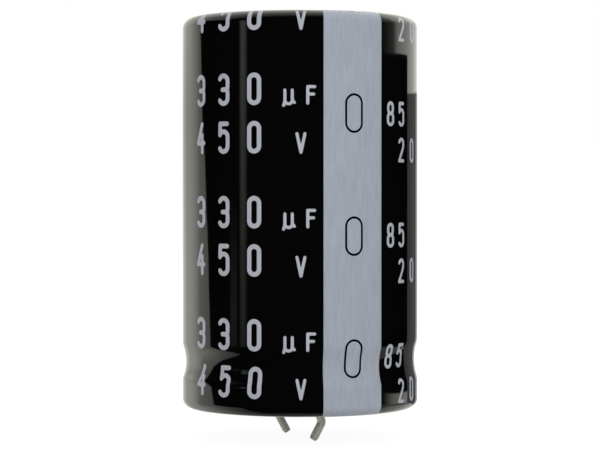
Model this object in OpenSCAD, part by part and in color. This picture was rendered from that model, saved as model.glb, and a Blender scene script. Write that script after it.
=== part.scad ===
// Snap-in aluminium electrolytic capacitor: a beaded and curled can in a heat-shrunk sleeve,
// closed by a rubber-faced deck that carries two riveted snap-in terminals.
// Millimetres. The origin is the centre of the seat on the circuit board. +Z points to the can's
// closed head, and -Y to the negative terminal and the front.

/* [Case] */
// Diameter over the sleeve
case_d = 30; // [27:0.5:40]
// Length from the board seat to the head, over the sleeve
case_l = 49.6; // [30:0.2:80]
// Thickness of the shrunk sleeve film
sleeve_t = 0.2; // [0.1:0.05:0.3]
// Width of the sleeve's lip on the head, from the can's side
head_lip = 2.6; // [1.6:0.1:5]
// How far the sleeve's other lip turns round the can's curl
base_lip_turn = 80; // [20:5:90]
// How far the sleeve sinks into the bead
sleeve_dip = 0.41; // [0.2:0.01:0.8]
// Radius at which the sleeve leaves the can above the bead
sleeve_span_r = 3.5; // [2.6:0.1:4.5]

/* [Can] */
// Wall of the drawn can
can_wall = 0.5; // [0.35:0.05:0.6]
// Thickness of the closed head
head_t = 0.8; // [0.7:0.05:1.2]
// Outside radius of the head's corner
head_corner_r = 1.1; // [0.8:0.1:2]
// Depth of the rolled bead that backs the deck
bead_depth = 1.5; // [1:0.1:2]
// Radius at the bead's root, outside
bead_root_r = 1.2; // [0.8:0.1:2]
// Radius at the bead's two shoulders, outside
bead_shoulder_r = 2; // [1.5:0.1:2.5]
// Outside radius of the curl's outer corner
curl_corner_r = 0.95; // [0.8:0.05:1.4]
// Width of the curl's flat rim
curl_flat = 0.6; // [0.3:0.1:1.2]
// Outside radius of the curl's inner corner
curl_inner_r = 0.8; // [0.7:0.05:1.1]
// How deep the curl's edge bites into the rubber
curl_bite = 0.2; // [0.1:0.05:0.4]

/* [Vent] */
// Number of scored rays on the head
vent_rays = 3; // [2:1:4]
// Length of a ray from the head's centre
vent_ray_l = 8; // [4:0.5:10]
// Width of a score at the surface
vent_w = 0.6; // [0.3:0.1:1]
// Depth of a score
vent_depth = 0.45; // [0.2:0.05:0.6]

/* [Deck] */
// Depth from the board seat to the deck's rubber face
deck_recess = 1.85; // [1.8:0.05:2.6]
// Thickness of the rubber facing
rubber_t = 1; // [0.6:0.1:1.6]
// Thickness of the laminate plate
plate_t = 1.5; // [1:0.1:3]
// Gap between the laminate plate and the can's wall
plate_gap = 0.35; // [0.2:0.05:0.5]

/* [Terminals] */
// Spacing of the two blades
pitch = 10; // [9:0.5:12]
// Thickness of the terminal strip
strip_t = 0.65; // [0.5:0.05:0.85]
// Width of a blade
blade_w = 1.1; // [1:0.1:2.5]
// Reach of the blades below the board seat
blade_reach = 3.95; // [3.4:0.05:7]
// Inside radius of the strip's bends
strip_bend_r = 0.4; // [0.3:0.05:0.6]
// Straight drop before the kink
kink_drop = 0.6; // [0.1:0.05:0.8]
// Length of the outward run of the kink
kink_run = 1.3; // [0.8:0.1:1.6]
// Slope of the outward run from upright
kink_out = 20; // [5:1:30]
// Slope of the returning leg from upright
kink_in = 30; // [10:1:40]
// Diameter of the lug's ring round its rivet
lug_d = 5.4; // [5:0.1:6.5]
// Distance from the rivet's centre to the blade's plane
rivet_offset = 3.6; // [3.2:0.1:4.5]

/* [Rivets] */
// Diameter of a rivet's shank
rivet_d = 2.6; // [2:0.1:3]
// Diameter of the upset head on the lug
upset_d = 4.4; // [3.6:0.1:4.8]
// Height of the upset head
upset_h = 0.7; // [0.4:0.05:0.75]
// Diameter of the punched dimple in the upset head
dimple_d = 1.8; // [1:0.1:2.4]
// Depth of the dimple
dimple_depth = 0.35; // [0.1:0.05:0.5]
// Diameter of the preformed head inside the can
inner_head_d = 5; // [4:0.1:6]
// Height of the preformed head
inner_head_h = 0.8; // [0.5:0.05:1.2]
// Diameter of the aluminium washers
washer_d = 7; // [5.5:0.1:8]
// Thickness of the washers
washer_t = 0.5; // [0.3:0.05:0.8]

/* [Foil tabs] */
// Width of a foil tab
tab_w = 5; // [4:0.1:6]
// Thickness of a foil tab
tab_t = 0.25; // [0.15:0.05:0.35]
// Length of the tab past the rivet's centre
tab_tail = 2.6; // [2:0.1:3.2]
// Centreline radius of the tab's folds
tab_fold_r = 0.7; // [0.65:0.05:0.8]
// Distance from the can's axis to where the tab leaves the winding
tab_root = 9.8; // [9:0.1:10.4]
// Length of tab caught between the winding's turns
tab_grip = 3; // [2:0.5:8]

/* [Winding] */
// Gap between the winding and the can's wall
winding_gap = 0.35; // [0.25:0.05:0.6]
// Gap between the winding and the can's head
winding_head_gap = 0.3; // [0.1:0.05:0.8]
// Clearance from the bead to the winding's lower end
winding_bead_gap = 0.2; // [0.1:0.05:0.6]
// Diameter of the hole that the winding arbor leaves
core_d = 4; // [3:0.5:6]
// Pitch of the paper turns that stand proud at each end
turn_pitch = 0.9; // [0.8:0.1:1.4]
// Thickness of a proud turn
turn_t = 0.35; // [0.2:0.05:0.5]
// Height of the proud turns
turn_h = 0.5; // [0.3:0.1:0.8]
// Clearance round a tab in its slot in the winding
tab_slot_gap = 0.05; // [0.02:0.01:0.1]
// Width of the closing tape
tape_w = 20; // [10:1:30]
// Thickness of the closing tape
tape_t = 0.1; // [0.05:0.01:0.15]

/* [Hidden] */
$fn = 96;
// Largest turn between two points of a curved stretch of a profile, in degrees
arc_step = 7.5;
// Turn between two points of a blade's round tip, in degrees
tip_step = 15;
// A length that carries a cutting shape clear of the faces it cuts
clear = 1;

can_r = case_d / 2 - sleeve_t;
can_bore_r = can_r - can_wall;
head_z = case_l - sleeve_t;
base_z = sleeve_t;

// The stack on the deck, from the board seat inwards
rubber_top_z = deck_recess + rubber_t;
plate_top_z = rubber_top_z + plate_t;
washer_top_z = plate_top_z + washer_t;
tab_top_z = washer_top_z + tab_t;
inner_head_z = tab_top_z + inner_head_h;
lug_face_z = deck_recess - strip_t;
upset_z = lug_face_z - upset_h;

// The bead: two shoulder arcs and a root arc, tangent to each other
bead_turn = acos(1 - bead_depth / (bead_root_r + bead_shoulder_r));
bead_half = (bead_root_r + bead_shoulder_r) * sin(bead_turn);
// Height at which the bead's inner shoulder comes in as far as the plate's edge
shoulder_inner_r = bead_shoulder_r - can_wall;
shoulder_rise = sqrt(pow(shoulder_inner_r, 2) - pow(shoulder_inner_r - plate_gap, 2));
bead_z = plate_top_z + bead_half - shoulder_rise;

// The sleeve spans the bead: it leaves the can gently above, dips with a much flatter root, and comes
// back round the lower shoulder. Its deepest place lies a little below the bead's own
dip_skew = sleeve_dip * (sleeve_span_r - bead_shoulder_r) / (2 * bead_half);
dip_upper_turn = 2 * atan(sleeve_dip / (bead_half + dip_skew));
dip_lower_turn = 2 * atan(sleeve_dip / (bead_half - dip_skew));
dip_root_r = (bead_half + dip_skew) / sin(dip_upper_turn) - sleeve_span_r;

// Straight stretches of the can's side, above and below the bead
barrel_run = head_z - head_corner_r - bead_z - bead_half;
skirt_run = bead_z - bead_half - curl_corner_r - base_z;
curl_leg = deck_recess + curl_bite - base_z - curl_inner_r;
curl_edge_r = can_r - curl_corner_r - curl_flat - curl_inner_r;

// The rivets stand off the line of the blades, on opposite sides of it
rivet_x = pitch / 2;
rivet_radius = norm([rivet_x, rivet_offset]);
rivet_azimuth = atan2(-rivet_offset, rivet_x);

winding_r = can_bore_r - winding_gap;
winding_low_z = bead_z + bead_half + winding_bead_gap;
winding_high_z = head_z - head_t - winding_head_gap;
// The innermost proud turn stands back from the hole by the gap between turns
first_turn_r = core_d / 2 + turn_pitch - turn_t;
turns = floor((winding_r - turn_t - first_turn_r) / turn_pitch);

// Unit vectors along a heading in degrees, and to its left
function ahead(h) = [cos(h), sin(h)];
function left(h) = [-sin(h), cos(h)];
function reversed(list) = [for (i = [len(list) - 1 : -1 : 0]) list[i]];

// A path is a start, a heading and a list of moves. A move of [length] runs straight on,
// and a move of [radius, angle] turns on that radius, to the left if the angle is positive.
function centre(at, h, m) = at + sign(m[1]) * m[0] * left(h);
function moved(at, h, m) =
    len(m) == 1
        ? at + m[0] * ahead(h)
        : centre(at, h, m) - sign(m[1]) * m[0] * left(h + m[1]);
function turned(h, m) = len(m) == 1 ? h : h + m[1];
function path_end(at, h, moves, i = 0) =
    i == len(moves)
        ? at
        : path_end(moved(at, h, moves[i]), turned(h, moves[i]), moves, i + 1);

// Points along a path, at a fixed distance to its left
function beside(at, h, moves, off, i = 0) =
    i == len(moves)
        ? [at + off * left(h)]
        : let (m = moves[i], steps = len(m) == 1 ? 1 : ceil(abs(m[1]) / arc_step))
          concat(
              [for (k = [0 : steps - 1])
                  len(m) == 1
                      ? at + off * left(h)
                      : centre(at, h, m)
                        - (sign(m[1]) * m[0] - off) * left(h + m[1] * k / steps)],
              beside(moved(at, h, m), turned(h, m), moves, off, i + 1));

// Section of a sheet that follows a path, with its two faces to the left and right of it
module sheet(at, h, moves, left_t, right_t)
    polygon(concat(
        beside(at, h, moves, left_t),
        reversed(beside(at, h, moves, -right_t))));

// Sweeps a section drawn in a plane along X, centred on that plane
module across(width) rotate([90, 0, 90]) linear_extrude(width, center = true) children();

// Turns a piece drawn on the +X side to the negative terminal's side, or to the positive one's
module pole(side) rotate([0, 0, -90 * side]) children();
module at_rivet() translate([rivet_x, -rivet_offset, 0]) children();

// Wall of the drawn can: head, corner, side, bead, skirt, and an edge curled in onto the rubber
module can_section()
    sheet([0, head_z], 0, [
        [can_r - head_corner_r], [head_corner_r, -90], [barrel_run],
        [bead_shoulder_r, -bead_turn], [bead_root_r, 2 * bead_turn],
        [bead_shoulder_r, -bead_turn], [skirt_run],
        [curl_corner_r, -90], [curl_flat], [curl_inner_r, -90], [curl_leg]
    ], 0, can_wall);

// One pressed score of the pressure vent, from the head's centre outwards
module vent_score()
    rotate([90, 0, 90]) linear_extrude(vent_ray_l)
        polygon([[-vent_w / 2, 0], [0, -vent_depth], [vent_w / 2, 0], [0, clear]]);

module can()
    color("silver") difference() {
        union() {
            rotate_extrude() can_section();
            translate([0, 0, head_z - head_t])
                cylinder(r = can_bore_r, h = head_t - can_wall / 2);
        }
        for (i = [0 : vent_rays - 1])
            rotate([0, 0, i * 360 / vent_rays]) translate([0, 0, head_z]) vent_score();
    }

// The heat-shrunk film: it grips the can, spans the bead and turns in over both ends
module sleeve()
    color([0.03, 0.03, 0.035]) rotate_extrude()
        sheet([can_r - head_lip, head_z], 0, [
            [head_lip - head_corner_r], [head_corner_r, -90], [barrel_run],
            [sleeve_span_r, -dip_upper_turn], [dip_root_r, dip_upper_turn + dip_lower_turn],
            [bead_shoulder_r, -dip_lower_turn], [skirt_run],
            [curl_corner_r, -90], [curl_flat], [curl_inner_r, -base_lip_turn]
        ], sleeve_t, 0);

module rivet_holes()
    for (side = [1, -1])
        pole(side) at_rivet() cylinder(d = rivet_d, h = plate_top_z + clear);

// Rubber facing of the deck, with the ring that the can's edge presses into it
module seal_rubber()
    color([0.09, 0.09, 0.09]) difference() {
        translate([0, 0, deck_recess]) cylinder(r = can_bore_r, h = rubber_t);
        translate([0, 0, deck_recess - clear]) difference() {
            cylinder(r = curl_edge_r + can_wall, h = clear + curl_bite);
            cylinder(r = curl_edge_r, h = clear + curl_bite);
        }
        rivet_holes();
    }

// Phenolic laminate plate behind the rubber
module deck_plate()
    color([0.45, 0.26, 0.12]) difference() {
        translate([0, 0, rubber_top_z]) cylinder(r = can_bore_r - plate_gap, h = plate_t);
        rivet_holes();
    }

// The strip's path from the rivet: along the deck, down, out to the kink, and back in
strip_path_r = strip_bend_r + strip_t / 2;
strip_start = [-rivet_offset, deck_recess - strip_t / 2];
strip_bends = [
    [rivet_offset - strip_path_r], [strip_path_r, -90], [kink_drop],
    [strip_path_r, kink_out], [kink_run], [strip_path_r, -kink_out - kink_in]
];
leg_start = path_end(strip_start, 0, strip_bends);
// The tip's outer corner is the lowest point of the leg
leg_l = (leg_start[1] + blade_reach - strip_t / 2 * sin(kink_in)) / cos(kink_in);
tip = leg_start - leg_l * [sin(kink_in), cos(kink_in)];

// What is cut from the end of a blade to leave a full round
module tip_corners()
    translate([0, tip[0], tip[1]]) rotate([90 - kink_in, 0, 0])
        linear_extrude(strip_t + 2 * clear, center = true) polygon(concat(
            [for (x = [-1, 1]) [x * (blade_w / 2 + clear), -clear]],
            [[blade_w / 2 + clear, blade_w / 2]],
            [for (a = [0 : -tip_step : -180]) blade_w / 2 * ([0, 1] + ahead(a))],
            [[-blade_w / 2 - clear, blade_w / 2]]));

// Solder lug and snap-in blade, stamped and bent as one strip
module terminal()
    color([0.78, 0.78, 0.74]) difference() {
        union() {
            translate([rivet_x, 0, 0]) across(blade_w)
                sheet(strip_start, 0, concat(strip_bends, [[leg_l]]), strip_t / 2, strip_t / 2);
            at_rivet() translate([0, 0, lug_face_z]) cylinder(d = lug_d, h = strip_t);
        }
        translate([rivet_x, 0, 0]) tip_corners();
        at_rivet() cylinder(d = rivet_d, h = deck_recess + clear);
    }

// Aluminium rivet, upset onto the lug outside and headed onto the tab inside
module rivet()
    color([0.82, 0.82, 0.83]) at_rivet() difference() {
        union() {
            translate([0, 0, upset_z]) cylinder(d1 = upset_d - upset_h, d2 = upset_d, h = upset_h);
            translate([0, 0, lug_face_z]) cylinder(d = rivet_d, h = tab_top_z - lug_face_z);
            translate([0, 0, tab_top_z]) cylinder(d = inner_head_d, h = inner_head_h);
        }
        translate([0, 0, upset_z]) cylinder(d1 = dimple_d, d2 = 0, h = dimple_depth);
    }

module washer()
    color([0.8, 0.8, 0.82]) at_rivet() translate([0, 0, plate_top_z]) difference() {
        cylinder(d = washer_d, h = washer_t);
        translate([0, 0, -clear]) cylinder(d = rivet_d, h = washer_t + 2 * clear);
    }

// The tab's path in the radial plane of its rivet: off the rivet, folded back over it, into the winding
tab_mid_z = washer_top_z + tab_t / 2;
tab_back_l = rivet_radius - inner_head_d / 2;
tab_moves = [
    [tab_tail + inner_head_d / 2], [tab_fold_r, -180],
    [tab_root - tab_fold_r - tab_back_l], [tab_fold_r, 90],
    [winding_low_z + tab_grip - tab_mid_z - 3 * tab_fold_r]
];

module in_rivet_plane() rotate([0, 0, rivet_azimuth]) children();

// Foil tab that joins one electrode of the winding to its rivet
module tab()
    color([0.7, 0.7, 0.72]) difference() {
        in_rivet_plane() rotate([90, 0, 0]) linear_extrude(tab_w, center = true)
            sheet([rivet_radius + tab_tail, tab_mid_z], 180, tab_moves, tab_t / 2, tab_t / 2);
        at_rivet() translate([0, 0, washer_top_z - clear])
            cylinder(d = rivet_d, h = tab_t + 2 * clear);
    }

// Slot between two turns that holds a tab
module tab_slot()
    in_rivet_plane() translate([tab_root, 0, winding_low_z + (tab_grip - turn_h - clear) / 2])
        cube([tab_t + 2 * tab_slot_gap, tab_w + 2 * tab_slot_gap,
              tab_grip + turn_h + clear + 2 * tab_slot_gap], center = true);

// Half a turn of paper edge, as a half ring
module half_turn(inner_r, from)
    rotate([0, 0, from]) rotate_extrude(angle = 180) translate([inner_r, 0])
        square([turn_t, turn_h]);

// Paper edges that stand proud of an end as a spiral, drawn from two alternating centres
module proud_turns()
    for (i = [0 : turns - 1]) {
        half_turn(first_turn_r + i * turn_pitch, 0);
        translate([turn_pitch / 2, 0, 0])
            half_turn(first_turn_r + (i + 0.5) * turn_pitch, 180);
    }

// Anode foil, cathode foil and paper, wound up as one roll
module wound_element()
    color([0.85, 0.8, 0.68]) difference() {
        union() {
            translate([0, 0, winding_low_z + turn_h])
                cylinder(r = winding_r, h = winding_high_z - winding_low_z - 2 * turn_h);
            translate([0, 0, winding_low_z]) proud_turns();
            translate([0, 0, winding_high_z - turn_h]) proud_turns();
        }
        translate([0, 0, winding_low_z - clear])
            cylinder(d = core_d, h = winding_high_z - winding_low_z + 2 * clear);
        for (side = [1, -1]) pole(side) tab_slot();
    }

module winding_tape()
    color([0.93, 0.9, 0.75])
        translate([0, 0, (winding_low_z + winding_high_z - tape_w) / 2]) difference() {
            cylinder(r = winding_r + tape_t, h = tape_w);
            translate([0, 0, -clear]) cylinder(r = winding_r, h = tape_w + 2 * clear);
        }

sleeve();
can();
seal_rubber();
deck_plate();
pole(1) terminal();  // negative_terminal
pole(-1) terminal();  // positive_terminal
pole(1) rivet();  // negative_rivet
pole(-1) rivet();  // positive_rivet
pole(1) washer();  // negative_washer
pole(-1) washer();  // positive_washer
pole(1) tab();  // negative_tab
pole(-1) tab();  // positive_tab
wound_element();
winding_tape();
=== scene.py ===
import math

import bpy
import numpy as np
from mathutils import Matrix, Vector


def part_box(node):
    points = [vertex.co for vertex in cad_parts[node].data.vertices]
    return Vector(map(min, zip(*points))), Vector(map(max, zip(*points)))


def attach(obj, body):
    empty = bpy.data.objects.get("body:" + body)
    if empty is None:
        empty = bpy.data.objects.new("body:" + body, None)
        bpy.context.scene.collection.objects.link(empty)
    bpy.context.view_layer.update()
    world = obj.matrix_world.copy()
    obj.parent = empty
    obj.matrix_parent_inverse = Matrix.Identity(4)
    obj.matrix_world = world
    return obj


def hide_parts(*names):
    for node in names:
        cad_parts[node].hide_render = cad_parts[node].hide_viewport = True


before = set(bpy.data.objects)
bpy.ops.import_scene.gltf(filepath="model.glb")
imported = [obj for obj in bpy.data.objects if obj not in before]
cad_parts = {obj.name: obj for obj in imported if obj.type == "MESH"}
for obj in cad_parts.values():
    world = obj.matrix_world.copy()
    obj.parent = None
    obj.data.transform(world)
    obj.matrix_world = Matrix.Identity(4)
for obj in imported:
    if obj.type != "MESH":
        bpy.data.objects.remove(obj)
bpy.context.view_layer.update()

MM = 0.001

# The sleeve's section, in millimetres, as the can and its film are made
# The span's radius is the photograph's: the film leaves the can a little more sharply than the solid does
FILM = 0.2
HEAD_LIP = 2.6
HEAD_CORNER = 1.1
BEAD_DEPTH = 1.5
BEAD_ROOT = 1.2
BEAD_SHOULDER = 2.0
SLEEVE_DIP = 0.41
SLEEVE_SPAN = 2.6
CAN_WALL = 0.5
PLATE_GAP = 0.35
CURL_CORNER = 0.95
CURL_FLAT = 0.6
CURL_INNER = 0.8
BASE_LIP_TURN = 80

# Heights and radii that come from the frame, in millimetres
sleeve_low, sleeve_high = (np.array(corner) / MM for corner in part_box("sleeve"))
can_low, can_high = (np.array(corner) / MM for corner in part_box("can"))
plate_high = np.array(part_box("deck_plate")[1]) / MM
pins_low = np.array(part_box("negative_terminal")[0]) / MM
CASE_R = sleeve_high[0]
CAN_R = can_high[0]


def linear(colour):
    """An sRGB hex colour as linear red, green, blue and alpha."""
    parts = [int(colour[i:i + 2], 16) / 255 for i in (1, 3, 5)]
    return [c / 12.92 if c <= 0.04045 else ((c + 0.055) / 1.055) ** 2.4 for c in parts] + [1.0]


# The film's surface

# A straight run has rings this near its ends, so that the gloss stays flat up to them
END_RING = 0.05
# The path runs on past the film's two edges, by a length on the head and a turn at the base
HEAD_SPARE = 0.4
BASE_SPARE_TURN = 15


def film_path(turn_step, run_step):
    """Points, outward normals and print heights down the sleeve's outside, from the head's lip to the base's.

    A print height is the distance along the film, and equals z on the straight side of the case.
    """
    turn = math.acos(1 - BEAD_DEPTH / (BEAD_ROOT + BEAD_SHOULDER))
    half = (BEAD_ROOT + BEAD_SHOULDER) * math.sin(turn)
    inner = BEAD_SHOULDER - CAN_WALL
    bead_z = plate_high[2] + half - math.sqrt(inner ** 2 - (inner - PLATE_GAP) ** 2)
    skew = SLEEVE_DIP * (SLEEVE_SPAN - BEAD_SHOULDER) / (2 * half)
    upper_turn = 2 * math.atan(SLEEVE_DIP / (half + skew))
    lower_turn = 2 * math.atan(SLEEVE_DIP / (half - skew))
    dip_root = (half + skew) / math.sin(upper_turn) - SLEEVE_SPAN
    upper_turn, lower_turn = math.degrees(upper_turn), math.degrees(lower_turn)
    side_top = can_high[2] - HEAD_CORNER
    side_run = side_top - bead_z - half
    skirt_run = bead_z - half - CURL_CORNER - can_low[2]
    moves = [
        (HEAD_LIP - HEAD_CORNER + HEAD_SPARE,), (HEAD_CORNER, -90), (side_run,),
        (SLEEVE_SPAN, -upper_turn), (dip_root, upper_turn + lower_turn), (BEAD_SHOULDER, -lower_turn), (skirt_run,),
        (CURL_CORNER, -90), (CURL_FLAT,), (CURL_INNER, -BASE_LIP_TURN - BASE_SPARE_TURN),
    ]
    at = np.array([CAN_R - HEAD_LIP - HEAD_SPARE, can_high[2]])
    heading = 0.0
    points, normals = [], []
    for move in moves:
        size = move[0]
        bend = move[1] if len(move) > 1 else 0
        steps = max(1, math.ceil(abs(bend) / turn_step if bend else size / run_step))
        shares = [k / steps for k in range(steps + 1)]
        if not bend:
            shares = sorted(shares + [END_RING / size, 1 - END_RING / size])
        for share in shares:
            h = math.radians(heading + bend * share)
            normal = np.array([-math.sin(h), math.cos(h)])
            if bend:
                h0 = math.radians(heading)
                centre = at + math.copysign(size, bend) * np.array([-math.sin(h0), math.cos(h0)])
                here = centre - math.copysign(size, bend) * normal
            else:
                here = at + size * share * np.array([math.cos(h), math.sin(h)])
            points.append(here + FILM * normal)
            normals.append(normal)
        at = here
        heading += bend
    points, normals = np.array(points), np.array(normals)
    fresh = np.ones(len(points), bool)
    fresh[1:] = np.linalg.norm(np.diff(points, axis=0), axis=1) > 1e-6
    points, normals = points[fresh], normals[fresh]
    along = np.concatenate([[0], np.cumsum(np.linalg.norm(np.diff(points, axis=0), axis=1))])
    on_side = np.argmin(abs(points[:, 1] - side_top))
    return points, normals, side_top - (along - along[on_side])


fine_points, fine_normals, fine_heights = film_path(0.5, 0.05)
SIDE_TOP = can_high[2] - HEAD_CORNER
CORNER_LENGTH = (HEAD_CORNER + FILM) * math.pi / 2
HEAD_LIP_HEIGHT = SIDE_TOP + CORNER_LENGTH
HEAD_EDGE_HEIGHT = HEAD_LIP_HEIGHT + HEAD_LIP - HEAD_CORNER
BASE_EDGE_HEIGHT = fine_heights[-1] + math.radians(BASE_SPARE_TURN) * (CURL_INNER + FILM)

# The film's dip over the bead leans up by this much on one side and down on the other, between these heights
DIP_LEAN = 0.36
DIP_LEAN_TOWARDS = math.radians(16)
DIP_LEAN_HEIGHTS = (3.4, 6.2, 12, 20)

# How deep the puckers over the head's lip are, and how far the two cut edges wander
PUCKER_DEPTH = 0.03
HEAD_EDGE_WAVE = 0.16
BASE_EDGE_WAVE = 0.12


def on_head_lip(height):
    """How far a print height is over the head's lip: 0 on its corner, 1 at the film's edge."""
    return np.clip((height - HEAD_LIP_HEIGHT) / (HEAD_EDGE_HEIGHT - HEAD_LIP_HEIGHT), 0, 1)


def on_film(across, height, lift):
    """Places on the film, in metres: across is measured round the case from the stripe's middle.

    The shrunk film spans the bead a little out of level, so its section is read there a little higher or lower.
    Over the head's lip it has small puckers, deepest at its edge.
    """
    up, height = fine_heights[::-1], np.array(height, float)
    round_case = np.array(across, float) / CASE_R
    pucker = 0.5 + 0.5 * np.sin(46 * round_case + 1.5 * np.sin(5 * round_case) + 0.8 * np.sin(11 * round_case))
    lift = lift + PUCKER_DEPTH * on_head_lip(height) ** 1.5 * pucker
    turn = round_case - math.pi / 2
    rise = DIP_LEAN * np.cos(turn - DIP_LEAN_TOWARDS) * np.interp(height, DIP_LEAN_HEIGHTS, (0, 1, 1, 0))
    read = height - rise
    r = np.interp(read, up, fine_points[::-1, 0]) + lift * np.interp(read, up, fine_normals[::-1, 0])
    z = np.interp(height, up, fine_points[::-1, 1]) + lift * np.interp(read, up, fine_normals[::-1, 1])
    return np.stack([r * np.cos(turn), r * np.sin(turn), z], -1) * MM


def new_piece(name, vertices, faces, finish, sharp=None):
    """A mesh piece that rides with the case and takes a finish."""
    mesh = bpy.data.meshes.new(name)
    mesh.from_pydata([tuple(v) for v in vertices], [], faces)
    mesh.validate()
    mesh.update()
    mesh.shade_smooth()
    if sharp:
        mesh.set_sharp_from_angle(angle=math.radians(sharp))
    piece = bpy.data.objects.new(name, mesh)
    bpy.context.scene.collection.objects.link(piece)
    mesh.materials.append(finish)
    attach(piece, "root")
    return piece


def edge_wave(turn, seed):
    """A slow uneven wave round the case, from -1 to 1, for a cut edge of shrunk film."""
    return 0.5 * np.sin(3 * turn + seed) + 0.3 * np.sin(7 * turn + 2.1 * seed) + 0.2 * np.sin(13 * turn + seed)


# The film's mesh: its columns round the case, and its rings' steps in degrees of a bend and millimetres of a run
FILM_COLUMNS = 360
OUTER_STEPS = (2, 1.6)
INNER_STEPS = (15, 4)


def shrunk_sleeve(finish):
    """The film tube, with wavy cut edges."""
    turn = np.linspace(0, 2 * math.pi, FILM_COLUMNS, endpoint=False)
    head_wave, base_wave = HEAD_EDGE_WAVE * edge_wave(turn, 1.3), BASE_EDGE_WAVE * edge_wave(turn, 4.1)
    rings = []
    for depth, steps in ((0, OUTER_STEPS), (FILM, INNER_STEPS)):
        heights = film_path(*steps)[2]
        heights = heights[(heights < HEAD_EDGE_HEIGHT - 0.02) & (heights > BASE_EDGE_HEIGHT + 0.02)]
        heights = np.concatenate([[HEAD_EDGE_HEIGHT], heights, [BASE_EDGE_HEIGHT]])
        for height in (heights[::-1] if depth else heights):
            turned_in = max(0, height / BASE_EDGE_HEIGHT)
            here = height + on_head_lip(height) * head_wave - turned_in * base_wave
            rings.append(on_film(turn * CASE_R, here, -depth))
    faces = []
    for i in range(len(rings)):
        low, high = i * FILM_COLUMNS, (i + 1) % len(rings) * FILM_COLUMNS
        for j in range(FILM_COLUMNS):
            k = (j + 1) % FILM_COLUMNS
            faces.append((low + j, high + j, high + k, low + k))
    return new_piece("shrunk_sleeve", np.concatenate(rings), faces, finish, sharp=40)


# Printed marks: each is a set of strokes, and a stroke's gap is the distance to its middle line

def line_gap(u, v, start, end):
    """Distance to a straight stroke's middle line."""
    (x0, y0), (x1, y1) = start, end
    dx, dy = x1 - x0, y1 - y0
    t = np.clip(((u - x0) * dx + (v - y0) * dy) / (dx * dx + dy * dy), 0, 1)
    return np.hypot(u - x0 - t * dx, v - y0 - t * dy)


def arc_gap(u, v, centre, radius, start, turn):
    """Distance to a curved stroke's middle line, which turns from a start angle, in degrees."""
    x, y = u - centre[0], v - centre[1]
    middle = math.radians(start + turn / 2)
    off = np.abs((np.arctan2(y, x) - middle + math.pi) % (2 * math.pi) - math.pi)
    ends = [(centre[0] + radius * math.cos(a), centre[1] + radius * math.sin(a))
            for a in (math.radians(start), math.radians(start + turn))]
    to_ends = np.minimum(*[np.hypot(u - e[0], v - e[1]) for e in ends])
    return np.where(off <= math.radians(abs(turn)) / 2, np.abs(np.hypot(x, y) - radius), to_ends)


def gap_to(u, v, strokes):
    """Distance to the nearest of a mark's strokes."""
    gaps = [line_gap(u, v, *s) if len(s) == 2 else arc_gap(u, v, *s) for s in strokes]
    return np.minimum.reduce(gaps)


def nought(a, b):
    """An upright ring with straight sides, a wide by b tall from its centre to its middle line."""
    straight = b - a
    return [((-a, -straight), (-a, straight)), ((a, -straight), (a, straight)),
            ((0, straight), a, 0, 180), ((0, -straight), a, 180, 180)]


def three(a, b):
    straight, q = b - a, 0.62 * a
    return [((0, straight), a, 0, 155), ((a, straight), (a, q)), ((a - q, q), q, -90, 90),
            ((-0.25 * a, 0), (a - q, 0)), ((a - q, -q), q, 0, 90), ((a, -straight), (a, -q)),
            ((0, -straight), a, -155, 155)]


def four(a, b):
    bar, stem = -0.36 * b, 0.42 * a
    return [((stem, b), (-a, bar)), ((-a, bar), (a, bar)), ((stem, 0.22 * b), (stem, -b))]


def five(a, b):
    straight, crown = b - a, 0.05 * b
    return [((-0.82 * a, b), (0.85 * a, b)), ((-0.82 * a, b), (-0.88 * a, crown + 0.42 * a)),
            ((0, crown), a, 0, 152), ((a, -straight), (a, crown)), ((0, -straight), a, -155, 155)]


def two(a, b):
    straight = b - a
    return [((0, straight), a, 0, 160), ((a, straight), (0.9 * a, 0.25 * b)), ((0.9 * a, 0.25 * b), (-a, -b)),
            ((-a, -b), (a, -b))]


def eight(a, b):
    waist, q = 0.04 * b, 0.88 * a
    straight = b - a
    return [((0, b - q), q, 0, 180), ((-q, waist + q), (-q, b - q)), ((q, waist + q), (q, b - q)),
            ((0, waist + q), q, 180, 180), ((0, waist - a), a, 0, 180), ((-a, -straight), (-a, waist - a)),
            ((a, -straight), (a, waist - a)), ((0, -straight), a, 180, 180)]


def micro(a, b):
    return [((-a, b), (-a, -0.45 * b)), ((-a, -0.45 * b), (-1.35 * a, -b)), ((a, b), (a, -0.3 * b)),
            ((0, -0.3 * b), a, 180, 180), ((a, -0.3 * b), (1.55 * a, -0.62 * b))]


def farad(a, b):
    return [((-a, b), (-a, -b)), ((-a, b), (a, b)), ((-a, 0.1 * b), (0.7 * a, 0.1 * b))]


def volt(a, b):
    return [((-a, b), (0, -b)), ((0, -b), (a, b))]


# The print comes round again along the tube at this pitch
PITCH = 15.0
FIGURE, FIGURE_STROKE = (0.65, 1.7), 0.57
# Middles of the three figures of a rating, round the case from the stripe's middle
FIGURE_PLACES = (-21.31, -17.05, -12.64)
CAPACITY_HEIGHT = 39.98
VOLTAGE_HEIGHT = 34.1
UNIT_STROKE = 0.38
SIDE_FIGURE, SIDE_STROKE = (0.5, 1.33), 0.42
SIDE_UPPER_HEIGHT = 37.1
SIDE_LOWER_HEIGHT = 32.65

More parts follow.
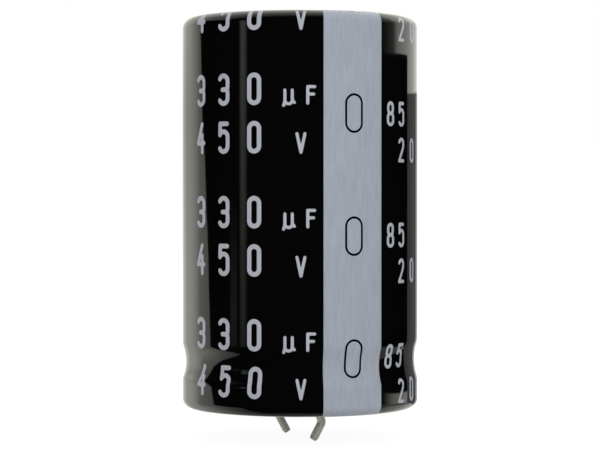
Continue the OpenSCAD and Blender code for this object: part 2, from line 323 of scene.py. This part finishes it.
# Each line of print: its marks as (shape, half sizes, stroke, place across, height)
CAPACITY = [(three, FIGURE, FIGURE_STROKE, FIGURE_PLACES[0], CAPACITY_HEIGHT),
            (three, FIGURE, FIGURE_STROKE, FIGURE_PLACES[1], CAPACITY_HEIGHT),
            (nought, FIGURE, FIGURE_STROKE, FIGURE_PLACES[2], CAPACITY_HEIGHT),
            (micro, (0.45, 0.92), UNIT_STROKE, -8.3, 38.85), (farad, (0.42, 1.0), UNIT_STROKE, -5.55, 39.2)]
VOLTAGE = [(four, FIGURE, FIGURE_STROKE, FIGURE_PLACES[0], VOLTAGE_HEIGHT),
           (five, FIGURE, FIGURE_STROKE, FIGURE_PLACES[1], VOLTAGE_HEIGHT),
           (nought, FIGURE, FIGURE_STROKE, FIGURE_PLACES[2], VOLTAGE_HEIGHT),
           (volt, (0.48, 1.13), UNIT_STROKE, -6.8, 33.37)]
SIDE = [(eight, SIDE_FIGURE, SIDE_STROKE, 5.71, SIDE_UPPER_HEIGHT),
        (five, SIDE_FIGURE, SIDE_STROKE, 8.04, SIDE_UPPER_HEIGHT),
        (two, SIDE_FIGURE, SIDE_STROKE, 8.04, SIDE_LOWER_HEIGHT),
        (nought, SIDE_FIGURE, SIDE_STROKE, 11.2, SIDE_LOWER_HEIGHT)]

STRIPE_HALF = 4.04
MINUS = (1.08, 2.28)
MINUS_STROKE = 0.28
MINUS_PLACE = -0.07
MINUS_HEIGHT = 37.05

# The ink's outside stands this far off the film, and the ink goes this deep
INK_LIFT = 0.012
INK_FILM = 0.03
# The ink stops this far short of the film's edges
FIGURES_HEAD_MARGIN = 0.25
STRIPE_HEAD_MARGIN = 0.22
STRIPE_BASE_MARGIN = 0.12
# The squares that the print is cut from, and how near a cut may come to a square's corner, as a share of its side
FIGURE_CELL = 0.09
MINUS_CELL = 0.075
NEAREST_CUT = 0.04
# A stripe's grid reaches this far past its edge
PAST_EDGE = 0.01


def ink_mesh(across, heights, depth):
    """Faces of the inked part of a grid: depth is negative where there is ink. Edges cut the grid's squares."""
    places, index, faces = [], {}, []

    def vertex(key, place):
        if key not in index:
            index[key] = len(places)
            places.append(place)
        return index[key]

    wet = depth < 0
    for i in range(len(across) - 1):
        for j in range(len(heights) - 1):
            if not wet[i:i + 2, j:j + 2].any():
                continue
            corners = [(i, j), (i + 1, j), (i + 1, j + 1), (i, j + 1)]
            face = []
            for c, n in zip(corners, corners[1:] + corners[:1]):
                if wet[c]:
                    face.append(vertex(c, (across[c[0]], heights[c[1]])))
                if wet[c] != wet[n]:
                    t = min(max(depth[c] / (depth[c] - depth[n]), NEAREST_CUT), 1 - NEAREST_CUT)
                    place = (across[c[0]] + t * (across[n[0]] - across[c[0]]),
                             heights[c[1]] + t * (heights[n[1]] - heights[c[1]]))
                    face.append(vertex((min(c, n), max(c, n)), place))
            if len(face) > 2:
                faces.append(tuple(face))
    return places, faces


def printed(name, sheets, finish):
    """One ink piece from several meshed patches, given a film's thickness."""
    places, faces = [], []
    for patch_places, patch_faces in sheets:
        faces += [tuple(len(places) + k for k in face) for face in patch_faces]
        places += patch_places
    places = np.array(places)
    piece = new_piece(name, on_film(places[:, 0], places[:, 1], INK_LIFT), faces, finish)
    film = piece.modifiers.new("ink_film", "SOLIDIFY")
    film.thickness = INK_FILM * MM
    film.offset = -1
    return piece


def repeats(height, half):
    """Heights at which a mark comes round again along the tube, where any of it is on the film."""
    return [height + k * PITCH for k in range(-4, 3)
            if BASE_EDGE_HEIGHT < height + k * PITCH + half and height + k * PITCH - half < HEAD_EDGE_HEIGHT]


def printed_line(name, marks, finish):
    """A line of figures, printed again at every pitch."""
    sheets = []
    for shape, (a, b), stroke, place, height in marks:
        strokes = shape(a, b)
        reach_u, reach_v = 1.6 * a + stroke, b + stroke
        for middle in repeats(height, b + stroke):
            across = np.arange(-reach_u, reach_u + FIGURE_CELL, FIGURE_CELL)
            up = np.arange(-reach_v, reach_v + FIGURE_CELL, FIGURE_CELL)
            u, v = np.meshgrid(across, up, indexing="ij")
            depth = gap_to(u, v, strokes) - stroke / 2
            depth = np.maximum(depth, v + middle - HEAD_EDGE_HEIGHT + FIGURES_HEAD_MARGIN)
            sheets.append(ink_mesh(across + place, up + middle, depth))
    return printed(name, sheets, finish)


def polarity_stripe(finish):
    """The pale stripe on the negative side, with its outlined minus signs left bare."""
    a, b = MINUS
    near = MINUS_STROKE + abs(MINUS_PLACE)
    across = np.concatenate([np.linspace(-STRIPE_HALF - PAST_EDGE, -a - near, 16, endpoint=False),
                             np.arange(-a - near, a + near, MINUS_CELL),
                             np.linspace(a + near, STRIPE_HALF + PAST_EDGE, 16)])
    rows = list(film_path(6, 0.6)[2])
    middles = repeats(MINUS_HEIGHT, b + near)
    rows = [h for h in rows if not any(abs(h - m) < b + near for m in middles)]
    for m in middles:
        rows += list(np.arange(m - b - near, m + b + near, MINUS_CELL))
    top, bottom = HEAD_EDGE_HEIGHT - STRIPE_HEAD_MARGIN, BASE_EDGE_HEIGHT + STRIPE_BASE_MARGIN
    heights = np.array(sorted({round(h, 4) for h in rows if bottom < h < top} | {bottom, top}))
    heights = np.concatenate([[bottom - PAST_EDGE], heights, [top + PAST_EDGE]])
    u, v = np.meshgrid(across, heights, indexing="ij")
    depth = np.maximum(np.abs(u) - STRIPE_HALF, np.maximum(bottom - v, v - top))
    for m in middles:
        depth = np.maximum(depth, MINUS_STROKE / 2 - gap_to(u - MINUS_PLACE, v - m, nought(a, b)))
    return printed("polarity_stripe", [ink_mesh(across, heights, depth)], finish)


# Finishes

def add(tree, kind, inputs=None, **settings):
    """Adds a node: settings are its own, and each input is a value or another node's output."""
    node = tree.nodes.new(kind)
    for key, value in settings.items():
        setattr(node, key, value)
    for key, value in (inputs or {}).items():
        if isinstance(value, bpy.types.NodeSocket):
            tree.links.new(value, node.inputs[key])
        else:
            node.inputs[key].default_value = value
    return node


def per(size_mm):
    """A pattern's scale, for features of a size in millimetres on a piece in metres."""
    return 1 / (size_mm * MM)


def new_material(name):
    """A material and its nodes."""
    material = bpy.data.materials.new(name)
    material.use_nodes = True
    return material, material.node_tree


def start_finish(name, colour, roughness, metallic=0.0):
    """A material with its main shader and its place on the piece, ready for its own detail."""
    material, tree = new_material(name)
    shader = tree.nodes["Principled BSDF"]
    shader.inputs["Base Color"].default_value = linear(colour)
    shader.inputs["Roughness"].default_value = roughness
    shader.inputs["Metallic"].default_value = metallic
    return material, tree, shader, add(tree, "ShaderNodeTexCoord").outputs["Object"]


def uneven(tree, place, size_mm, low, high, detail=3.0):
    """A cloudy pattern of a real grain size, from one value to another."""
    cloud = add(tree, "ShaderNodeTexNoise", {"Vector": place, "Scale": per(size_mm), "Detail": detail})
    return add(tree, "ShaderNodeMapRange", {"Value": cloud.outputs["Fac"], "From Min": 0.3, "From Max": 0.7,
                                            "To Min": low, "To Max": high}).outputs["Result"]


def shade_with(tree, shader):
    """Puts a shader in the main one's place."""
    tree.nodes.remove(tree.nodes["Principled BSDF"])
    tree.links.new(shader.outputs[0], tree.nodes["Material Output"].inputs["Surface"])


def two_tone(tree, mix, first, second):
    """A colour between two sRGB hex colours."""
    return add(tree, "ShaderNodeMix", {"Factor": mix, "A": linear(first), "B": linear(second)},
               data_type="RGBA").outputs["Result"]


def relief(tree, shader, height, depth_mm):
    """Bump of a real depth."""
    bump = add(tree, "ShaderNodeBump", {"Height": height, "Distance": depth_mm * MM, "Strength": 1.0})
    tree.links.new(bump.outputs["Normal"], shader.inputs["Normal"])


PVC_IOR = 1.54


def shrunk_pvc():
    """Black PVC film, heat-shrunk: mirror gloss with a slow waviness from the shrinking."""
    material, tree, shader, place = start_finish("shrunk_black_pvc_film", "#060607", 0.055)
    shader.inputs["IOR"].default_value = PVC_IOR
    tree.links.new(uneven(tree, place, 3.0, 0.04, 0.075), shader.inputs["Roughness"])
    relief(tree, shader, uneven(tree, place, 5.0, 0.0, 1.0, detail=1.0), 0.004)
    return material


def screen_ink(name, thin, thick):
    """Silver-grey screen ink on the film: satin, laid down a little unevenly in fine upright streaks."""
    material, tree, shader, place = start_finish(name, thin, 0.42)
    streaks = add(tree, "ShaderNodeMapping", {"Vector": place, "Scale": (1.0, 1.0, 0.12)})
    mix = uneven(tree, streaks.outputs["Vector"], 0.35, 0.0, 1.0, detail=4.0)
    tree.links.new(two_tone(tree, mix, thin, thick), shader.inputs["Base Color"])
    tree.links.new(uneven(tree, place, 0.6, 0.36, 0.5), shader.inputs["Roughness"])
    relief(tree, shader, mix, 0.002)
    return material


# A wave pattern of scale 1 has rings this far apart, in its own units
RING_SCALE = 2 * math.pi / 20


def drawn_aluminium():
    """Deep-drawn aluminium: satin and a little matt, with faint rings from the punch on the head."""
    material, tree, shader, place = start_finish("drawn_aluminium", "#A9ABAD", 0.34, metallic=0.7)
    rings = add(tree, "ShaderNodeTexWave", {"Vector": place, "Scale": per(0.9) * RING_SCALE, "Distortion": 0.5,
                                            "Detail": 0.0, "Detail Scale": 0.2},
                wave_type="RINGS", rings_direction="Z", wave_profile="SIN")
    tree.links.new(uneven(tree, place, 0.8, 0.26, 0.4), shader.inputs["Roughness"])
    tree.links.new(two_tone(tree, uneven(tree, place, 2.5, 0.0, 1.0), "#A2A4A7", "#B1B3B5"),
                   shader.inputs["Base Color"])
    relief(tree, shader, rings.outputs["Fac"], 0.003)
    return material


def tin_strip_painted_light():
    """Steel strip with dull tin plate: a matt, slightly warm pale grey with a fine grain. It is painted paler than
    dull tin, as painted light for the pins in the case's shade.
    """
    # Painted light: the pale base and grain colours make up for the light that the case's shade keeps from the pins
    material, tree, shader, place = start_finish("tinned_steel_strip_painted_light", "#E4E2D4", 0.55, metallic=0.12)
    grain = uneven(tree, place, 0.25, 0.0, 1.0)
    tree.links.new(two_tone(tree, grain, "#DDDBCD", "#ECEADE"), shader.inputs["Base Color"])
    tree.links.new(uneven(tree, place, 0.5, 0.5, 0.66), shader.inputs["Roughness"])
    relief(tree, shader, grain, 0.006)
    return material


def upset_aluminium():
    """Soft aluminium, upset by a punch: satin with a fine crushed grain."""
    material, tree, shader, place = start_finish("upset_aluminium", "#A8AAAD", 0.38, metallic=1.0)
    grain = uneven(tree, place, 0.15, 0.0, 1.0)
    tree.links.new(uneven(tree, place, 0.4, 0.3, 0.48), shader.inputs["Roughness"])
    relief(tree, shader, grain, 0.004)
    return material


def etched_foil():
    """Aluminium tab foil, dull and faintly cloudy."""
    material, tree, shader, place = start_finish("tab_foil", "#A3A5A8", 0.5, metallic=1.0)
    tree.links.new(uneven(tree, place, 1.2, 0.42, 0.6), shader.inputs["Roughness"])
    return material


def sealing_rubber():
    """Moulded butyl rubber: matt black with a fine bloom."""
    material, tree, shader, place = start_finish("moulded_butyl_rubber", "#1B1B1C", 0.72)
    bloom = uneven(tree, place, 1.6, 0.0, 1.0)
    tree.links.new(two_tone(tree, bloom, "#171718", "#232324"), shader.inputs["Base Color"])
    relief(tree, shader, uneven(tree, place, 0.12, 0.0, 1.0), 0.008)
    return material


def phenolic_laminate():
    """Paper and phenolic resin, pressed: brown, semi-matt, with paper fibre showing."""
    material, tree, shader, place = start_finish("phenolic_paper_laminate", "#6B3F1E", 0.45)
    tree.links.new(two_tone(tree, uneven(tree, place, 0.8, 0.0, 1.0, detail=6.0), "#5C3418", "#7B4C27"),
                   shader.inputs["Base Color"])
    return material


def soaked_paper():
    """Capacitor paper wet with electrolyte: cream, faintly shiny."""
    material, tree, shader, place = start_finish("soaked_capacitor_paper", "#CDBF9B", 0.4)
    tree.links.new(two_tone(tree, uneven(tree, place, 2.0, 0.0, 1.0, detail=5.0), "#BFB08A", "#D8CBA9"),
                   shader.inputs["Base Color"])
    return material


def polypropylene_tape():
    """Pale polypropylene tape, smooth and slightly milky."""
    material, tree, shader, place = start_finish("polypropylene_tape", "#E2DAB4", 0.3)
    tree.links.new(uneven(tree, place, 1.5, 0.24, 0.36), shader.inputs["Roughness"])
    return material


# What the camera sees of the floor is this share of its own white, at this strength, and the rest is lit card
FLOOR_WHITE_SHARE = 0.85
FLOOR_WHITE = 1.12


def white_board():
    """The studio floor: white card, brightened towards the camera so that it meets the white behind it."""
    material, tree = new_material("white_card")
    card = add(tree, "ShaderNodeBsdfDiffuse", {"Color": linear("#F2F2F2")})
    glow = add(tree, "ShaderNodeEmission", {"Strength": FLOOR_WHITE})
    path = add(tree, "ShaderNodeLightPath")
    share = add(tree, "ShaderNodeMath", {0: path.outputs["Is Camera Ray"], 1: FLOOR_WHITE_SHARE},
                operation="MULTIPLY")
    shade_with(tree, add(tree, "ShaderNodeMixShader", {"Fac": share.outputs["Value"], 1: card.outputs["BSDF"],
                                                       2: glow.outputs["Emission"]}))
    return material


def dress_nodes():
    """Gives every CAD piece that shows as it is its own finish."""
    aluminium, steel, upset, foil = drawn_aluminium(), tin_strip_painted_light(), upset_aluminium(), etched_foil()
    finishes = {"can": aluminium, "seal_rubber": sealing_rubber(), "deck_plate": phenolic_laminate(),
                "wound_element": soaked_paper(), "winding_tape": polypropylene_tape()}
    for side in ("negative", "positive"):
        finishes.update({f"{side}_terminal": steel, f"{side}_rivet": upset, f"{side}_washer": upset,
                         f"{side}_tab": foil})
    for node, finish in finishes.items():
        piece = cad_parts[node]
        piece.data.materials.clear()
        piece.data.materials.append(finish)


# Camera, as the photograph was taken

VIEW_AZIMUTH = -26.4
CAMERA_DISTANCE = 278.0
CAMERA_HEIGHT = 26.9
# The photograph's horizon is this far above the picture's middle, in its own pixels
HORIZON_RISE = 28.6
FOCAL_PIXELS = 2170.0
PICTURE_WIDTH = 600
SENSOR_WIDTH = 36.0

facing = math.radians(VIEW_AZIMUTH)
towards_camera = Vector((math.sin(facing), -math.cos(facing), 0))
camera_right = Vector((math.cos(facing), math.sin(facing), 0))


def place_camera():
    """The photograph's camera, looking a little below its own height."""
    lens = bpy.data.cameras.new("camera")
    lens.sensor_width = SENSOR_WIDTH
    lens.lens = FOCAL_PIXELS * SENSOR_WIDTH / PICTURE_WIDTH
    lens.clip_start = 0.01
    camera = bpy.data.objects.new("camera", lens)
    bpy.context.scene.collection.objects.link(camera)
    camera.location = (towards_camera * CAMERA_DISTANCE + Vector((0, 0, CAMERA_HEIGHT))) * MM
    drop = CAMERA_DISTANCE * HORIZON_RISE / FOCAL_PIXELS
    target = Vector((0, 0, CAMERA_HEIGHT - drop)) * MM
    camera.rotation_euler = (target - camera.location).to_track_quat("-Z", "Y").to_euler()
    bpy.context.scene.camera = camera


# Light

# How bright the room is to the matt pieces; the softboxes add the rest, up to the colours as written
DAYLIGHT = 0.43


def seen_from_case(azimuth, elevation):
    """Direction from the case, by angles to the right of the camera and up."""
    a, e = math.radians(azimuth), math.radians(elevation)
    level = towards_camera * math.cos(a) + camera_right * math.sin(a)
    return level * math.cos(e) + Vector((0, 0, math.sin(e)))


def surround():
    """The room: white behind the picture, and what the gloss shows of a white sweep, a ceiling and a dark front."""
    world = bpy.data.worlds.new("studio")
    bpy.context.scene.world = world
    world.use_nodes = True
    tree = world.node_tree
    path = add(tree, "ShaderNodeLightPath")
    way = add(tree, "ShaderNodeTexCoord").outputs["Generated"]

    def result(operation, first, second=0.0):
        return add(tree, "ShaderNodeMath", {0: first, 1: second}, operation=operation).outputs["Value"]

    def product(first, *others):
        for other in others:
            first = result("MULTIPLY", first, other)
        return first

    def brightest(first, *others):
        for other in others:
            first = result("MAXIMUM", first, other)
        return first

    def towards(direction):
        return add(tree, "ShaderNodeVectorMath", {0: way, 1: direction}, operation="DOT_PRODUCT").outputs["Value"]

    def ramp(value, start, end, low=0.0, high=1.0):
        return add(tree, "ShaderNodeMapRange", {"Value": value, "From Min": start, "From Max": end, "To Min": low,
                                                "To Max": high}, interpolation_type="SMOOTHSTEP").outputs["Result"]

    # Angles are in degrees, to the right of the camera and up. A ramp's last two values are brightnesses
    azimuth = product(result("ARCTAN2", towards(camera_right), towards(towards_camera)), math.degrees(1))
    elevation = product(result("ARCSINE", towards(Vector((0, 0, 1)))), math.degrees(1))

    # The sweep: a white sheet to the left and behind, which runs down and on under the case, into its shade
    wall_reach = ramp(azimuth, -74, -77)
    floor_reach = product(ramp(azimuth, -56, -62), ramp(elevation, -6, -9))
    wall_glow = result("MINIMUM", ramp(azimuth, -112, -124, 0.95, 1.45), ramp(azimuth, -130, -148, 1.45, 1.0))
    floor_glow = result("MINIMUM", ramp(azimuth, -62, -114, 0.45, 1.38), ramp(azimuth, -130, -150, 1.38, 0.9))
    back_glow = product(ramp(elevation, 1.5, 6, 0.0, 0.45), ramp(azimuth, -122, -140))
    wall_glow = result("ADD", product(wall_glow, ramp(elevation, -3, 4, 1.03, 0.82)), back_glow)
    glow = add(tree, "ShaderNodeMix", {"Factor": ramp(elevation, -10, -20), "A": wall_glow, "B": floor_glow})
    sweep = product(brightest(wall_reach, floor_reach), glow.outputs["Result"])
    under = ramp(elevation, -62, -80, 0.0, 0.3)

    # Its right-hand end, and the ceiling, which is brightest high up behind the case
    right_end = product(ramp(azimuth, 99, 112, 0.0, 1.35), ramp(elevation, -4, -1), ramp(elevation, 8, 22, 1.0, 1.45))
    right_floor = product(ramp(azimuth, 86, 106, 0.0, 1.15), ramp(elevation, -1, -4))
    over = towards(seen_from_case(176, 52.5))
    high_glow = product(ramp(over, 0.45, 1.0, 0.0, 1.2), ramp(elevation, 10, 50, 0.3, 1.0))
    ceiling = result("ADD", ramp(over, 0.0, 0.5, 0.0, 0.68), high_glow)

    # A narrow gap between two dark boards on the left, and a fainter one beside it, both cut off by the table
    above_table = ramp(elevation, -4.8, -3.8)
    gap = product(ramp(azimuth, -61.5, -58), ramp(azimuth, -51.5, -56), ramp(elevation, -4, 4.5, 0.27, 0.66),
                  above_table, ramp(elevation, 8, 5.5))
    side_gap = product(ramp(azimuth, -73, -69), ramp(azimuth, -62, -65), ramp(elevation, 0.5, -3, 0.0, 0.14),
                       above_table)

    # Below, the sweep and the right-hand floor dim towards the case: painted shade of the table near it
    far_sides = product(brightest(sweep, right_end, right_floor), ramp(elevation, -25, -75, 1.0, 0.25))
    gloss = brightest(far_sides, under, ceiling, gap, side_gap)
    lit = add(tree, "ShaderNodeMix", {"Factor": path.outputs["Is Glossy Ray"], "A": DAYLIGHT, "B": gloss})
    level = add(tree, "ShaderNodeMix", {"Factor": path.outputs["Is Camera Ray"], "A": lit.outputs["Result"], "B": 1.0})
    tint = two_tone(tree, path.outputs["Is Glossy Ray"], "#FFFFFF", "#FFFFF6")
    background = tree.nodes["Background"]
    tree.links.new(level.outputs["Result"], background.inputs["Strength"])
    tree.links.new(tint, background.inputs["Color"])


def soft_light(name, azimuth, elevation, distance, size, power):
    """A square softbox, aimed at the middle of the case. It lights the case and leaves no patch in its gloss."""
    lamp = bpy.data.lights.new(name, "AREA")
    lamp.shape = "SQUARE"
    lamp.size = size
    lamp.energy = power
    light = bpy.data.objects.new(name, lamp)
    bpy.context.scene.collection.objects.link(light)
    middle = Vector((0, 0, (sleeve_low[2] + sleeve_high[2]) / 2 * MM))
    light.location = middle + seen_from_case(azimuth, elevation) * distance
    light.rotation_euler = (middle - light.location).to_track_quat("-Z", "Y").to_euler()
    light.visible_glossy = False


# The table's height and how far to the right the sweep's left end is, in millimetres
TABLE = -3.9
LEFT_END = -143


def gloss_board(name, low_edge, high_edge, brightness):
    """A board that shows only in the gloss, with a glow that stands in for the light on it. Its edges' corners are
    distances ahead, to the right and up.
    """
    finish, tree = new_material(name)
    shade_with(tree, add(tree, "ShaderNodeEmission", {"Strength": brightness}))
    corners = [(towards_camera * ahead + camera_right * right + Vector((0, 0, up))) * MM
               for ahead, right, up in low_edge + high_edge]
    count = len(low_edge)
    mesh = bpy.data.meshes.new(name)
    mesh.from_pydata(corners, [], [(k, k + 1, count + k + 1, count + k) for k in range(count - 1)])
    mesh.materials.append(finish)
    board = bpy.data.objects.new(name, mesh)
    bpy.context.scene.collection.objects.link(board)
    board.visible_camera = board.visible_diffuse = board.visible_shadow = board.visible_transmission = False


# Half the floor's width, in metres
FLOOR_REACH = 3.0


def studio_floor(finish):
    """A wide floor, level with the pins' tips. The gloss sees the sweep in its place."""
    mesh = bpy.data.meshes.new("floor")
    level = pins_low[2] * MM
    corners = [(x * FLOOR_REACH, y * FLOOR_REACH, level) for x, y in ((-1, -1), (1, -1), (1, 1), (-1, 1))]
    mesh.from_pydata(corners, [], [(0, 1, 2, 3)])
    mesh.materials.append(finish)
    floor = bpy.data.objects.new("floor", mesh)
    bpy.context.scene.collection.objects.link(floor)
    floor.visible_glossy = False


place_camera()
surround()
soft_light("softbox_high", 20, 52, 0.7, 0.5, 1.75)
soft_light("softbox_low", 4, 0, 0.6, 0.4, 1.45)
soft_light("softbox_back", 170, 40, 0.8, 0.5, 1.7)
studio_floor(white_board())

# What stands on the table to the right, from the front to the back, and the table itself
gloss_board("black_board", [(24, 39, 0.3), (-9.1, 32.5, 0.3)], [(24, 39, 46.15), (-9.1, 32.5, 46.15)], 0.0)
gloss_board("grey_board", [(-9.1, 32.5, -3), (-95, 69, -30)], [(-9.1, 32.5, 40.9), (-95, 69, 45.2)], 0.22)
gloss_board("dark_strip", [(-95, 69, -30), (-130, 70, -40)], [(-95, 69, 45.2), (-130, 70, 47)], 0.14)
gloss_board("pale_strip", [(-130, 70, -40), (-600, 85, -90)], [(-130, 70, 47), (-600, 85, 68)], 0.62)
# The table near the case on the right shows a dim grey in the gloss: painted shade on the table
gloss_board("floor_at_right_painted_shade", [(24, 29, TABLE), (-14, 27, TABLE)], [(24, 62, TABLE), (-14, 55, TABLE)], 0.45)

# The sweep's front edge on the left, ahead and up, and the dark room that starts in front of it
left_edge = [(-9, TABLE), (-7, 0.4), (-10.5, 5.1), (-16, 16.5), (-24, 27), (-27.5, 33), (-39.5, 42), (-48, 58.7),
             (-46, 98)]
gloss_board("left_board", [(ahead, LEFT_END, up) for ahead, up in left_edge],
            [(50, LEFT_END, up) for ahead, up in left_edge], 0.0)

# Its front edge on the table, ahead and to the right, and the table in front of it, which shows black in the gloss
sheet_edge = [(23.5, -18), (21.2, -25.5), (18.2, -34), (13.7, -44), (8, -63), (5.7, -74), (1.5, -91), (-4, -117),
              (-9, LEFT_END)]
gloss_board("dark_floor", [(ahead, right, TABLE) for ahead, right in sheet_edge],
            [(120, right, TABLE) for ahead, right in sheet_edge], 0.0)

ink = screen_ink("silver_figure_ink", "#A8ACB5", "#B2B6BE")
sleeve = shrunk_sleeve(shrunk_pvc())
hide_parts("sleeve")
polarity_stripe(screen_ink("silver_stripe_ink", "#9AA0AB", "#A6ACB7"))
printed_line("capacity_print", CAPACITY, ink)
printed_line("voltage_print", VOLTAGE, ink)
printed_line("side_print", SIDE, ink)
dress_nodes()

bpy.context.scene.view_settings.view_transform = "Standard"
